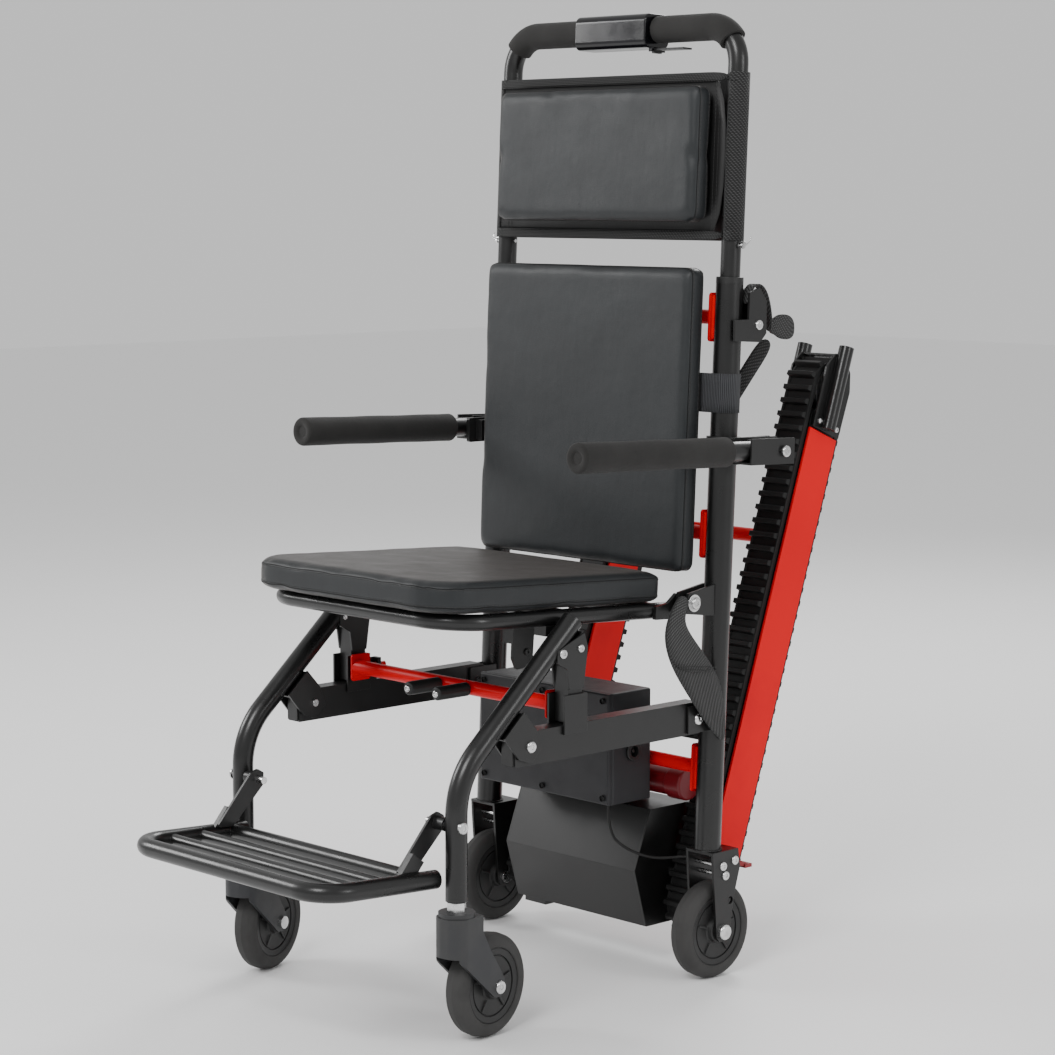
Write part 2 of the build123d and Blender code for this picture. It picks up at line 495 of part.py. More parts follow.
panel_out = [(-31, 70), (31, 70), (31, 696), (-31, 700)]
skin = plate(panel_out, 193, 196.5, 0) - rod_x(9, 180, 210, 0, 0)
skin_in = plate([(-31, 70), (31, 70), (31, 716), (-31, 716)], 135.5, 139)
core = plate([(-28, 38), (28, 38), (28, TRACK_LEN - 38), (-28, TRACK_LEN - 38)], b0, b1)
core -= plate([(-25, 35), (25, 35), (25, TRACK_LEN - 35), (-25, TRACK_LEN - 35)], b0 + 3, b1 - 3)
end_arm = plate([(-20, 90), (-20, 0), (-12, -14), (12, -14), (20, 0), (20, 90)], 136, 139)
end_arm += plate([(-20, 90), (-20, 0), (-12, -14), (12, -14), (20, 0), (20, 90)], 193, 196)
end_arm -= rod_x(8 + FIT, 100, 200, 0, 0)
end_arm -= skin + skin_in
cross = rod_x(10, -135.5, 135.5, 0, 538) - rod_x(8, -135.5, 135.5, 0, 538)
save("track_plates", [TRACK * s for s in pair(skin, skin_in)] + [TRACK * cross])
idle_pin = rod_x(6, 135, 197, 0, TRACK_LEN)
save("track_cores", [TRACK * s for s in pair(core, idle_pin, *solids(end_arm))])
cap_top_line = [(32, 770), (24, 796), (8, 815), (-16, 815), (-30, 792)]
cap = plate([(-30, 702), (30, 698)] + cap_top_line, 197, 200, 2) + rod_z(11, 704, 828, 206, -4)
cap_in = plate([(-30, 718), (30, 718)] + cap_top_line, 132, 135, 2) + rod_z(11, 740, 830, 126, -4)
cap_top = box(133, 199, -14, 6, 812, 815)
cap = cap + cap_in + cap_top - idle_pin
cap -= skin + skin_in
save("track_caps", [TRACK * s for s in pair(*solids(cap))])
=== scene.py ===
import json
import math
import random

import bmesh
import bpy
from mathutils import Matrix, Vector
from mathutils.bvhtree import BVHTree


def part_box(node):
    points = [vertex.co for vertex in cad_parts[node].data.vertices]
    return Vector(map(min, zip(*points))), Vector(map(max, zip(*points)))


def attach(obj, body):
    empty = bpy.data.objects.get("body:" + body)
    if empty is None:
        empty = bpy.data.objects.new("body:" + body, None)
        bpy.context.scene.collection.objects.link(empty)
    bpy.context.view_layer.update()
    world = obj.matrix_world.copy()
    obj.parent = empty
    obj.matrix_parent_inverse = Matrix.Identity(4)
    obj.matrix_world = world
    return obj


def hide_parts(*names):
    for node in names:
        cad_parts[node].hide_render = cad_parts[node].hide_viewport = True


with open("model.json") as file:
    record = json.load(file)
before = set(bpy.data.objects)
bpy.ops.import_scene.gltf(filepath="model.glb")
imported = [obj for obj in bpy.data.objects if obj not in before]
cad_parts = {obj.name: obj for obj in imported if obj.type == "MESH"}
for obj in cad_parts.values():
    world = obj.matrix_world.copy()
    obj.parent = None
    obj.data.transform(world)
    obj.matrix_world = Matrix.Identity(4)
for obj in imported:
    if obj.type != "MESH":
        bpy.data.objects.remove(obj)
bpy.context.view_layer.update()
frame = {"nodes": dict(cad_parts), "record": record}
random.seed(7)

# ---- driving dimensions, metres ------------------------------------------------------------
AXLE_Y = 0.180                      # rear axle line, from the middle of the chair
LEAN = math.radians(-2.667)         # uprights and backrest
SEAT_TILT = math.radians(-3.0)
TRACK_LEAN = math.radians(-18.9)
BACK = Matrix.Translation((0, AXLE_Y - 0.0157, 0)) @ Matrix.Rotation(LEAN, 4, "X")
SEAT = Matrix.Translation((0, AXLE_Y - 0.050, 0.538)) @ Matrix.Rotation(SEAT_TILT, 4, "X")
TRACK = Matrix.Translation((0, AXLE_Y + 0.0385, 0.090)) @ Matrix.Rotation(TRACK_LEAN, 4, "X")
FOOT = Matrix.Translation((0, AXLE_Y - 0.683, 0.229)) @ Matrix.Rotation(math.radians(-3), 4, "X")
FLAT = Matrix.Identity(4)
HALF = 0.225                        # upright centre from the middle
TUBE = 0.019                        # upright radius
TRACK_LENGTH = 0.765
BELT_SIDES = (0.141, 0.191)
BELT_INSIDE, BELT_OUTSIDE, TOOTH = 0.032, 0.038, 0.0075
BELT_PITCH_COUNT = 38
SWIVEL_X, SWIVEL_Y, TRAIL = 0.2225, AXLE_Y - 0.478, 0.058
CASTER_TURN = {"left": 8, "right": 18}
WHEEL_RADIUS = 0.069
STITCH_RADIUS = 0.00055


# ---- camera and units ----------------------------------------------------------------------
def add_camera():
    camera = bpy.data.objects.new("camera", bpy.data.cameras.new("camera"))
    camera.data.lens = 96.9
    camera.data.sensor_width = 36
    camera.data.clip_end = 60
    camera.location = (2.882, -2.694, 1.102)
    camera.rotation_euler = (math.radians(90 - 6.78), 0, math.radians(46.52))
    bpy.context.collection.objects.link(camera)
    bpy.context.scene.camera = camera


def mm(x, y, z):
    return Vector((x / 1000, y / 1000 + AXLE_Y, z / 1000))


# ---- finishes --------------------------------------------------------------------------------
class Finish:
    """A procedural material under construction: one shader, with noise-driven detail."""

    def __init__(self, name, colour, roughness, metallic=0.0):
        self.material = bpy.data.materials.new(name)
        self.material.use_nodes = True
        self.tree = self.material.node_tree
        self.shader = self.tree.nodes["Principled BSDF"]
        self.shader.inputs["Base Color"].default_value = (*colour, 1)
        self.shader.inputs["Roughness"].default_value = roughness
        self.shader.inputs["Metallic"].default_value = metallic
        self.colour = colour
        self.roughness = roughness
        self.where = self.node("ShaderNodeTexCoord").outputs["Object"]
        self.normal = None

    def node(self, kind, **values):
        made = self.tree.nodes.new(kind)
        for key, value in values.items():
            setattr(made, key, value)
        return made

    def link(self, out, into):
        self.tree.links.new(out, into)

    def set(self, **values):
        for key, value in values.items():
            self.shader.inputs[key.replace("_", " ")].default_value = value
        return self

    def stretch(self, scale, turn=(0, 0, 0)):
        mapping = self.node("ShaderNodeMapping")
        mapping.inputs["Scale"].default_value = scale
        mapping.inputs["Rotation"].default_value = turn
        self.link(self.where, mapping.inputs["Vector"])
        return mapping.outputs["Vector"]

    def noise(self, scale, detail=3.0, rough=0.55, vector=None):
        texture = self.node("ShaderNodeTexNoise")
        texture.inputs["Scale"].default_value = scale
        texture.inputs["Detail"].default_value = detail
        texture.inputs["Roughness"].default_value = rough
        self.link(vector or self.where, texture.inputs["Vector"])
        return texture.outputs["Fac"]

    def cells(self, scale, vector=None, feature="F1"):
        texture = self.node("ShaderNodeTexVoronoi", feature=feature)
        texture.inputs["Scale"].default_value = scale
        self.link(vector or self.where, texture.inputs["Vector"])
        return texture.outputs["Distance"]

    def ramp(self, factor, low, high, start=0.0, end=1.0):
        reach = self.node("ShaderNodeMapRange")
        reach.inputs["From Min"].default_value = start
        reach.inputs["From Max"].default_value = end
        reach.inputs["To Min"].default_value = low
        reach.inputs["To Max"].default_value = high
        self.link(factor, reach.inputs["Value"])
        return reach.outputs["Result"]

    def vary_roughness(self, factor, spread):
        self.link(self.ramp(factor, self.roughness - spread, self.roughness + spread, 0.3, 0.7),
                  self.shader.inputs["Roughness"])
        return self

    def vary_colour(self, factor, other, start=0.4, end=0.7):
        mix = self.node("ShaderNodeMix", data_type="RGBA")
        mix.inputs["A"].default_value = (*self.colour, 1)
        mix.inputs["B"].default_value = (*other, 1)
        self.link(self.ramp(factor, 0, 1, start, end), mix.inputs["Factor"])
        self.link(mix.outputs["Result"], self.shader.inputs["Base Color"])
        return self

    def bump(self, height, depth, strength=1.0):
        made = self.node("ShaderNodeBump")
        made.inputs["Distance"].default_value = depth
        made.inputs["Strength"].default_value = strength
        self.link(height, made.inputs["Height"])
        if self.normal:
            self.link(self.normal, made.inputs["Normal"])
        self.normal = made.outputs["Normal"]
        self.link(self.normal, self.shader.inputs["Normal"])
        return self

    def worn_edges(self, radius):
        edge = self.node("ShaderNodeBevel", samples=4)
        edge.inputs["Radius"].default_value = radius
        self.normal = edge.outputs["Normal"]
        self.link(self.normal, self.shader.inputs["Normal"])
        return self


def powder_coat(name, colour, roughness, dust, shine=0.42):
    f = Finish(name, colour, roughness)
    f.set(Specular_IOR_Level=shine, Coat_Weight=0.3 * shine, Coat_Roughness=0.2)
    f.worn_edges(0.0009).bump(f.noise(1400, 2), 0.00012, 0.5)
    f.vary_roughness(f.noise(35, 5), 0.05)
    return f.vary_colour(f.noise(9, 6), dust, 0.5, 0.8).material


def moulding(name, colour, roughness, grain, depth, other):
    f = Finish(name, colour, roughness).set(Specular_IOR_Level=0.4).worn_edges(0.0006)
    f.bump(f.cells(grain), depth, 0.6)
    f.vary_roughness(f.noise(40, 4), 0.05)
    return f.vary_colour(f.noise(14, 5), other).material


def coated_cloth(name, colour, sheen_colour, sheen):
    """Smooth coated upholstery with a fine pebbled grain and soft creases."""
    f = Finish(name, colour, 0.42).set(Sheen_Weight=sheen, Sheen_Roughness=0.35, Specular_IOR_Level=0.4)
    f.shader.inputs["Sheen Tint"].default_value = (*sheen_colour, 1)
    f.bump(f.noise(14, 4, 0.5), 0.003, 0.4)
    f.bump(f.noise(60, 3, 0.5, f.stretch((1, 1, 0.35))), 0.0007, 0.5)
    f.bump(f.cells(1500), 0.00022, 0.55)
    f.vary_roughness(f.noise(22, 4), 0.05)
    return f.vary_colour(f.noise(6, 6), tuple(c * 1.3 for c in colour)).material


def closed_foam(name, colour):
    f = Finish(name, colour, 0.85).set(Specular_IOR_Level=0.2, Sheen_Weight=0.06, Sheen_Roughness=0.6)
    f.bump(f.cells(1100), 0.00045, 0.7)
    f.bump(f.noise(260, 4), 0.0004, 0.5)
    return f.vary_colour(f.noise(18, 6), tuple(c * 1.4 for c in colour)).material


def woven(name, colour, ridge_highlight_colour, threads, rise, ribs_only=False):
    """Webbing woven over its own map: U across the strap, V along it, in metres."""
    f = Finish(name, colour, 0.72).set(Sheen_Weight=0.08, Sheen_Roughness=0.5, Specular_IOR_Level=0.3)
    f.where = f.node("ShaderNodeUVMap", uv_map="weave").outputs["UV"]
    first = f.node("ShaderNodeTexWave", wave_type="BANDS", bands_direction="Y" if ribs_only else "X")
    first.inputs["Scale"].default_value = threads
    f.link(f.where, first.inputs["Vector"])
    height = first.outputs["Fac"]
    if not ribs_only:
        slant = f.node("ShaderNodeTexWave", wave_type="BANDS", bands_direction="DIAGONAL")
        slant.inputs["Scale"].default_value = threads * 0.8
        f.link(f.where, slant.inputs["Vector"])
        both = f.node("ShaderNodeMath", operation="MULTIPLY")
        f.link(height, both.inputs[0])
        f.link(slant.outputs["Fac"], both.inputs[1])
        height = both.outputs[0]
    f.bump(height, rise, 0.9)
    f.bump(f.noise(900, 3), 0.0002, 0.4)
    # Painted highlight: the raised threads are coloured lighter, following the weave's bump height, as if lit.
    return f.vary_colour(height, ridge_highlight_colour, 0.1, 0.9).material


def metal(name, colour, roughness):
    f = Finish(name, colour, roughness, 1.0).worn_edges(0.0005)
    f.bump(f.noise(1200, 2, 0.6, f.stretch((1, 1, 6))), 0.00006, 0.5)
    f.vary_roughness(f.noise(160, 4), 0.08)
    return f.vary_colour(f.noise(60, 4), tuple(c * 0.7 for c in colour)).material


def rubber(name, colour, roughness, other):
    f = Finish(name, colour, roughness).set(Specular_IOR_Level=0.3).worn_edges(0.0005)
    f.bump(f.noise(420, 5), 0.0003, 0.5)
    f.bump(f.cells(90), 0.0002, 0.3)
    return f.vary_colour(f.noise(26, 7), other, 0.45, 0.75).material


def grey(level, warmth=0.0):
    return (level * (1 + warmth), level, level * (1 - warmth))


def make_finishes():
    return {
        "black_tube": powder_coat("black_tube_coat", grey(0.006), 0.3, grey(0.010)),
        "black_steel": powder_coat("black_steel_coat", grey(0.008), 0.38, grey(0.013)),
        "track_core": powder_coat("track_core_coat", grey(0.008), 0.5, grey(0.015)),
        "red_paint": powder_coat("red_coat", (0.74, 0.0004, 0.006), 0.34, (0.64, 0.001, 0.008), 0.1),
        "dark_red": powder_coat("motor_coat", (0.16, 0.005, 0.01), 0.4, (0.06, 0.008, 0.01)),
        "pedal_red": powder_coat("pedal_coat", (0.3, 0.01, 0.014), 0.45, (0.16, 0.014, 0.018)),
        "drive_sheet": powder_coat("drive_sheet_coat", grey(0.006), 0.34, grey(0.010)),
        "black_plastic": moulding("black_plastic", grey(0.010), 0.45, 900, 0.0001, grey(0.016)),
        "track_cap": moulding("track_cap_gloss", grey(0.009), 0.22, 700, 0.00005, grey(0.013)),
        "battery_shell": moulding("battery_shell", (0.013, 0.013, 0.015), 0.5, 1300, 0.00018,
                                  (0.019, 0.019, 0.022)),
        "caster_plastic": moulding("caster_plastic", (0.024, 0.025, 0.028), 0.45, 1000, 0.00012, grey(0.034)),
        "hub": moulding("wheel_hub", grey(0.016), 0.5, 1000, 0.0001, grey(0.024)),
        "gloss_housing": moulding("gloss_housing", (0.004, 0.004, 0.006), 0.14, 800, 0.00003, grey(0.007)),
        "cells": moulding("cell_wrap", (0.06, 0.13, 0.3), 0.4, 300, 0.0001, (0.05, 0.1, 0.24)),
        "tyre": rubber("tyre_rubber", grey(0.042, 0.02), 0.7, grey(0.03, 0.02)),
        "belt": rubber("belt_rubber", grey(0.008), 0.6, grey(0.014)),
        "cable": rubber("cable_sheath", grey(0.008), 0.5, grey(0.012)),
        "upholstery": coated_cloth("coated_upholstery", (0.0105, 0.0125, 0.014), (0.9, 0.75, 0.66), 0.1),
        "sleeve": coated_cloth("sleeve_cloth", grey(0.009), grey(0.7), 0.06),
        "foam": closed_foam("grip_foam", grey(0.017, 0.04)),
        # The second colour of each woven finish is a painted highlight on its raised threads.
        "webbing": woven("strap_webbing", grey(0.016), grey(0.10), 130, 0.0011),
        "elastic": woven("elastic_band", (0.014, 0.0145, 0.016), (0.058, 0.06, 0.066), 120, 0.0009, True),
        "mesh_cloth": woven("open_mesh", grey(0.006), grey(0.07), 140, 0.0007),
        "zinc": metal("zinc_plate", grey(0.78), 0.24),
        "gearbox": metal("cast_alloy", grey(0.42), 0.5),
        "roller": metal("roller_alloy", grey(0.5), 0.4),
        "thread": rubber("stitch_thread", grey(0.03), 0.6, grey(0.045)),
        "seam": rubber("seam_shadow", grey(0.004), 0.7, grey(0.006)),
    }


FINISH = make_finishes()


def dress_cad_nodes():
    slots = {entry["node"]: entry["material_slot"] for entry in frame["record"]["subparts"]}
    for name, node in frame["nodes"].items():
        node.data.materials.clear()
        node.data.materials.append(FINISH[slots[name]])


# ---- making pieces ---------------------------------------------------------------------------
def piece(name, bm, finish, body, replaces=(), place=FLAT, sharp=35):
    """Turns a bmesh into a finished object that rides on a body."""
    bmesh.ops.transform(bm, matrix=place, verts=bm.verts)
    mesh = bpy.data.meshes.new(name)
    bm.to_mesh(mesh)
    bm.free()
    mesh.shade_smooth()
    mesh.set_sharp_from_angle(angle=math.radians(sharp))
    mesh.materials.append(FINISH[finish])
    obj = bpy.data.objects.new(name, mesh)
    bpy.context.collection.objects.link(obj)
    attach(obj, body)
    if replaces:
        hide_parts(*replaces)
    return obj


def local_box(node, place):
    """A CAD node's lowest and highest corners in a leaning frame."""
    back = place.inverted()
    points = [back @ v.co for v in frame["nodes"][node].data.vertices]
    low = Vector([min(p[i] for p in points) for i in range(3)])
    high = Vector([max(p[i] for p in points) for i in range(3)])
    return low, high


def merge(bm, own, place):
    """Adds one small bmesh to another, put in place."""
    bmesh.ops.transform(own, matrix=place, verts=own.verts)
    mesh = bpy.data.meshes.new("merged")
    own.to_mesh(mesh)
    own.free()
    bm.from_mesh(mesh)
    bpy.data.meshes.remove(mesh)


def block(bm, low, high, bevel=0.0):
    low, high = Vector(low), Vector(high)
    made = bmesh.ops.create_cube(bm, size=1)["verts"]
    bmesh.ops.scale(bm, vec=high - low, verts=made)
    bmesh.ops.translate(bm, vec=(low + high) / 2, verts=made)
    if bevel:
        edges = list({e for v in made for e in v.link_edges})
        bmesh.ops.bevel(bm, geom=edges, offset=bevel, segments=1, profile=0.5, affect="EDGES", material=-1)
    return made


def lathe(profile, axis, steps):
    """Spins a profile of (distance from axis, place along axis) into a bmesh of its own."""
    turn = {"X": Matrix.Rotation(math.radians(90), 4, "Y"), "Y": Matrix.Rotation(math.radians(-90), 4, "X"),
            "Z": FLAT}[axis]
    bm = bmesh.new()
    verts = [bm.verts.new((r, 0, h)) for r, h in profile]
    edges = [bm.edges.new(pair) for pair in zip(verts, verts[1:])]
    bmesh.ops.spin(bm, geom=verts + edges, cent=(0, 0, 0), axis=(0, 0, 1), angle=math.tau, steps=steps,
                   use_merge=True)
    bmesh.ops.transform(bm, matrix=turn, verts=bm.verts)
    bmesh.ops.remove_doubles(bm, verts=bm.verts, dist=1e-6)
    bmesh.ops.recalc_face_normals(bm, faces=bm.faces)
    return bm


def arc(cx, cy, radius, start, end, count):
    """Points round an arc; angles in degrees."""
    turn = [math.radians(start + (end - start) * i / count) for i in range(count + 1)]
    return [(cx + radius * math.cos(a), cy + radius * math.sin(a)) for a in turn]


def ribbon(bm, stations):
    """A strap through (centre, half-width vector) stations, with a weave map in metres."""
    layer = bm.loops.layers.uv.verify()
    travelled = [0.0]
    for (a, _), (b, _) in zip(stations, stations[1:]):
        travelled.append(travelled[-1] + (b - a).length)
    first = [bm.verts.new(stations[0][0] - stations[0][1]), bm.verts.new(stations[0][0] + stations[0][1])]
    edge = bm.edges.new(first)
    rows, faces = [first], []
    for centre, half in stations[1:]:
        grown = bmesh.ops.extrude_edge_only(bm, edges=[edge])["geom"]
        new = [g for g in grown if isinstance(g, bmesh.types.BMVert)]
        new.sort(key=lambda v: (v.co - rows[-1][0].co).length)
        edge = [g for g in grown if isinstance(g, bmesh.types.BMEdge) and all(v in new for v in g.verts)][0]
        faces += [g for g in grown if isinstance(g, bmesh.types.BMFace)]
        new[0].co, new[1].co = centre - half, centre + half
        rows.append(new)
    spot = {v: (side * 2 * stations[i][1].length, travelled[i])
            for i, row in enumerate(rows) for side, v in enumerate(row)}
    for face in faces:
        for loop in face.loops:
            loop[layer].uv = spot[loop.vert]


def strap(name, stations, thickness, finish, body, replaces=(), place=FLAT):
    bm = bmesh.new()
    ribbon(bm, stations)
    obj = piece(name, bm, finish, body, replaces, place, sharp=60)
    obj.data.uv_layers[0].name = "weave"
    smooth = obj.modifiers.new("smooth", "SUBSURF")
    smooth.levels = smooth.render_levels = 2
    wall = obj.modifiers.new("wall", "SOLIDIFY")
    wall.thickness = thickness
    wall.offset = 0
    return obj


def along(points, spacing, closed=False):
    """Even steps along a line of points: (place, direction) pairs."""
    line = points + ([points[0]] if closed else [])
    steps, carried = [], 0.0
    for a, b in zip(line, line[1:]):
        run = (b - a).length
        if run < 1e-9:
            continue
        direction = (b - a) / run
        at = carried
        while at < run:
            steps.append((a + direction * at, direction))
            at += spacing
        carried = at - run
    return steps


def stitches(bm, points, spacing=0.0062, length=0.0042, closed=False, surface=None):
    """A row of short threads; they sit on a surface when one is given."""
    for place, direction in along(points, spacing, closed):
        if surface:
            spot, normal, _, _ = surface.find_nearest(place)
            if spot is None:
                continue
            place = spot + normal * 0.0001
            direction = (direction - normal * direction.dot(normal)).normalized()
        turn = direction.to_track_quat("Z", "Y").to_matrix().to_4x4()
        bmesh.ops.create_cone(bm, segments=6, radius1=STITCH_RADIUS, radius2=STITCH_RADIUS, depth=length,
                              cap_ends=True, matrix=Matrix.Translation(place) @ turn)


def tube(name, points, radius, finish, body, closed=False):
    """A thin round line, such as a seam or a wire, along points."""
    curve = bpy.data.curves.new(name, "CURVE")
    curve.dimensions = "3D"
    spline = curve.splines.new("POLY")
    spline.points.add(len(points) - 1)
    for spot, p in zip(spline.points, points):
        spot.co = (*p, 1)
    spline.use_cyclic_u = closed
    curve.bevel_depth = radius
    curve.bevel_resolution = 1
    holder = bpy.data.objects.new(name + "_line", curve)
    bpy.context.collection.objects.link(holder)
    bpy.context.view_layer.update()
    mesh = bpy.data.meshes.new_from_object(holder.evaluated_get(bpy.context.evaluated_depsgraph_get()))
    bpy.data.objects.remove(holder)
    bm = bmesh.new()
    bm.from_mesh(mesh)
    bpy.data.meshes.remove(mesh)
    piece(name, bm, finish, body)


def weld(bm, points, radius=0.0016):
    """A bead of overlapping drops."""
    for place, direction in along(points, radius * 0.95):
        turn = direction.to_track_quat("Z", "Y").to_matrix().to_4x4()
        jitter = 1 + random.uniform(-0.12, 0.12)
        bmesh.ops.create_icosphere(bm, subdivisions=1, radius=radius * jitter,
                                   matrix=Matrix.Translation(place) @ turn)


# ---- power cable -------------------------------------------------------------------------------
def add_cable():
    route = [(118, -96, 246), (118, -98, 205), (132, -74, 178),
             (158, -42, 164), (186, -8, 168), (197.8, -8, 168)]
    curve = bpy.data.curves.new("power_cable_line", "CURVE")
    curve.dimensions = "3D"
    spline = curve.splines.new("NURBS")
    spline.points.add(len(route) - 1)
    for spot, point in zip(spline.points, route):
        spot.co = (*mm(*point), 1)
    spline.order_u = 3
    spline.use_endpoint_u = True
    curve.bevel_depth = 0.002
    curve.bevel_resolution = 4
    curve.materials.append(FINISH["cable"])
    cable = bpy.data.objects.new("power_cable_line", curve)
    bpy.context.collection.objects.link(cable)
    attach(cable, "frame")
    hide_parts("power_cable")


# ---- cushions ----------------------------------------------------------------------------------
PADS = []


def start_pad(name, node, place, body, corner, back_corner, shrink):
    """A closed blank, a little smaller than its cushion, ready to be blown up."""
    low, high = local_box(node, place)
    low = low + Vector(shrink)
    high = high - Vector(shrink)
    bm = bmesh.new()
    block(bm, low, high)
    thin = min(range(3), key=lambda i: (high - low)[i])
    lines = [e for e in bm.edges if abs((e.verts[0].co - e.verts[1].co).normalized()[thin]) > 0.9]
    front = [e for e in lines if e.verts[0].co.y < (low.y + high.y) / 2] if thin == 2 else lines
    rear = [e for e in lines if e not in front]
    bmesh.ops.bevel(bm, geom=front, offset=corner, segments=10, profile=0.5, affect="EDGES", material=-1)
    if rear:
        rear = [e for e in rear if e.is_valid]
        bmesh.ops.bevel(bm, geom=rear, offset=back_corner, segments=6, profile=0.5, affect="EDGES", material=-1)
    mesh = bpy.data.meshes.new(name)
    bm.to_mesh(mesh)
    bm.free()
    obj = bpy.data.objects.new(name, mesh)
    bpy.context.collection.objects.link(obj)
    remesh = obj.modifiers.new("remesh", "REMESH")
    remesh.mode = "VOXEL"
    remesh.voxel_size = 0.006
    bpy.context.view_layer.update()
    fine = bpy.data.meshes.new_from_object(obj.evaluated_get(bpy.context.evaluated_depsgraph_get()))
    obj.modifiers.clear()
    obj.data = fine
    start = [v.co.copy() for v in fine.vertices]
    cloth = obj.modifiers.new("cloth", "CLOTH")
    cloth.settings.use_pressure = True
    cloth.settings.uniform_pressure_force = 4
    cloth.settings.effector_weights.gravity = 0
    cloth.settings.quality = 5
    cloth.point_cache.frame_start = 1
    cloth.point_cache.frame_end = 20
    PADS.append({"obj": obj, "node": node, "place": place, "body": body, "start": start,
                 "low": low - Vector(shrink), "high": high + Vector(shrink), "thin": thin})


def blow_up_pads(cap):
    for number in range(1, 21):
        bpy.context.scene.frame_set(number)
    graph = bpy.context.evaluated_depsgraph_get()
    for pad in PADS:
        obj = pad["obj"]
        swollen = obj.evaluated_get(graph).data
        moved = [v.co.copy() for v in swollen.vertices]
        obj.modifiers.clear()
        for vertex, home, now in zip(obj.data.vertices, pad["start"], moved):
            step = now - home
            for i in range(3):
                reach = cap if i == pad["thin"] else cap * 0.22
                step[i] = min(max(step[i], -reach), reach)
            spot = home + step
            for i in range(3):
                spot[i] = min(max(spot[i], pad["low"][i] - 0.001), pad["high"][i] + 0.001)
            vertex.co = spot
    bpy.context.scene.frame_set(1)


def outline(low, high, depth_axis, depth, inset, corner, rear=None):
    """A rounded rectangle in the plane across depth_axis."""
    a, b = [i for i in range(3) if i != depth_axis]
    rear = corner if rear is None else rear
    x0, x1, y0, y1 = low[a] + inset, high[a] - inset, low[b] + inset, high[b] - inset
    flat = arc(x0 + corner, y0 + corner, corner, 180, 270, 12)
    flat += arc(x1 - corner, y0 + corner, corner, 270, 360, 12)
    flat += arc(x1 - rear, y1 - rear, rear, 0, 90, 8) + arc(x0 + rear, y1 - rear, rear, 90, 180, 8)
    points = []
    for u, v in flat:
        p = Vector((0, 0, 0))
        p[a], p[b], p[depth_axis] = u, v, depth
        points.append(p)
    return points


def densify(points, spacing=0.006):
    return [p for p, _ in along(points, spacing, True)]


def finish_pad(pad, corner, rear, face_low):
    """Smooths a swollen pad, stitches its two edge seams and puts it in place."""
    obj, place, body = pad["obj"], pad["place"], pad["body"]
    low, high, thin = pad["low"], pad["high"], pad["thin"]
    smooth = obj.modifiers.new("smooth", "SMOOTH")
    smooth.iterations = 3
    extra = obj.modifiers.new("fine", "SUBSURF")
    extra.levels = extra.render_levels = 1
    bpy.context.view_layer.update()
    mesh = bpy.data.meshes.new_from_object(obj.evaluated_get(bpy.context.evaluated_depsgraph_get()))
    obj.modifiers.clear()
    bm = bmesh.new()
    bm.from_mesh(mesh)
    surface = BVHTree.FromBMesh(bm)
    name = obj.name
    bpy.data.objects.remove(obj)
    made = piece(name, bm, "upholstery", body, (pad["node"],), place, sharp=180)
    first = low[thin] + 0.0045 if face_low else high[thin] - 0.0045
    second = high[thin] - 0.0045 if face_low else low[thin] + 0.0045
    for number, depth in enumerate((first, second)):
        ring = densify(outline(low, high, thin, depth, -0.004, corner, rear))
        line = []
        for p in ring:
            spot, normal, _, _ = surface.find_nearest(p)
            line.append(place @ (spot + normal * 0.0002))
        tube(f"{name}_seam_{number}", line, 0.0006, "seam", body, closed=True)
        bm = bmesh.new()
        shift = 0.0035 if (number == 0) == face_low else -0.0035
        row = [p + Vector([shift if i == thin else 0 for i in range(3)]) for p in ring]
        stitches(bm, row, closed=True, surface=surface)
        piece(f"{name}_stitching_{number}", bm, "thread", body, (), place)


# ---- grips --------------------------------------------------------------------------------------
def add_armrest_grip(side):
    tilt = Matrix.Translation(mm(0, 62, 745)) @ Matrix.Rotation(math.radians(-2), 4, "X")
    low, high = local_box(f"armrest_grip_{side}", tilt)
    middle = Matrix.Translation(((low.x + high.x) / 2, 0, (low.z + high.z) / 2))
    radius = (high.x - low.x) / 2
    inner, start, end = 0.0142, low.y, high.y
    profile = [(0.0, start + 0.0035), (0.008, start + 0.0035), (0.0105, start + 0.0012)]
    profile += [(radius - 0.0055, start + 0.0004)] + arc(radius - 0.0045, start + 0.005, 0.0045, -90, 0, 5)
    for i in range(1, 14):
        t = i / 14
        swell = 0.0003 * math.sin(t * 17)
        profile.append((radius - 0.0003 + swell, start + 0.005 + (end - start - 0.008) * t))
    profile += arc(radius - 0.0025, end - 0.0025, 0.0025, 0, 90, 4) + [(inner, end), (inner, end - 0.004)]
    node, body = f"armrest_grip_{side}", f"armrest_{side}"
    foam = lathe(profile, "Y", 48)
    piece(f"armrest_foam_{side}", foam, "foam", body, (node,), tilt @ middle, sharp=40)


